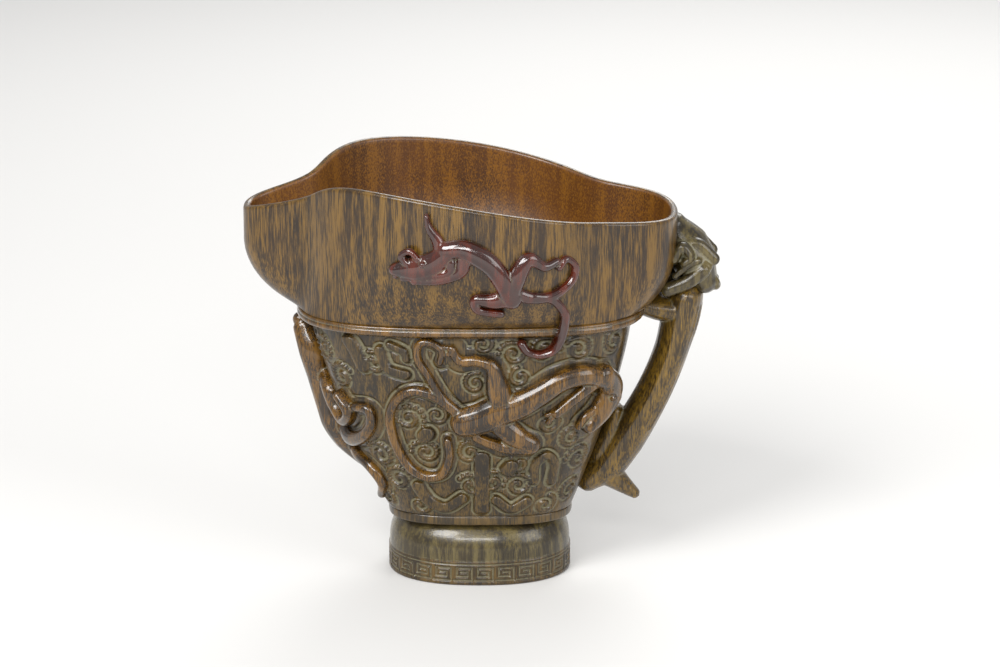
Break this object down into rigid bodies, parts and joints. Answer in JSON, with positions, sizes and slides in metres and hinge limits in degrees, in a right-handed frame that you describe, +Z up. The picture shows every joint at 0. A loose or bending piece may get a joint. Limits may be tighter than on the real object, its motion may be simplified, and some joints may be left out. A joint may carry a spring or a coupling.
{
  "type": "libation cup",
  "caption": "Carved horn libation cup on an oval foot, with a flared spouted mouth, a looped beast-head handle and dragons in high relief.",
  "frame": {"origin": "centre of the foot's flat underside", "axes": "+Z up out of the mouth, +X from the spout to the handle, -Y to the carved front that the picture shows"},
  "size_m": [0.1416, 0.0913, 0.1247],
  "materials": {
    "horn_dark": "waxed horn, streaked dark brown and ochre",
    "horn_pale": "waxed horn with grey dust in its hollows",
    "horn_red": "polished red-brown horn"
  },
  "bodies": {
    "root": {"back_centre_flange": "horn_dark", "back_corner_rib": "horn_dark", "back_dragon": "horn_dark", "back_mask_ball": "horn_dark", "back_mask_brow": "horn_dark", "back_mask_claw": "horn_dark", "back_mask_eye": "horn_dark", "back_mask_hook": "horn_dark", "back_mask_horn": "horn_dark", "back_mask_jaw": "horn_dark", "base_moulding": "horn_dark", "beast_head": "horn_pale", "body": "horn_dark", "bowl": "horn_dark", "foot_band": "horn_dark", "foot_shoulder": "horn_pale", "front_centre_flange": "horn_dark", "front_corner_rib": "horn_dark", "front_dragon": "horn_dark", "front_mask_ball": "horn_dark", "front_mask_brow": "horn_dark", "front_mask_claw": "horn_dark", "front_mask_eye": "horn_dark", "front_mask_hook": "horn_dark", "front_mask_horn": "horn_dark", "front_mask_jaw": "horn_dark", "handle": "horn_dark", "ledge_band": "horn_dark", "rim_dragon": "horn_red", "spout_dragon": "horn_dark"}
  },
  "joints": []
}
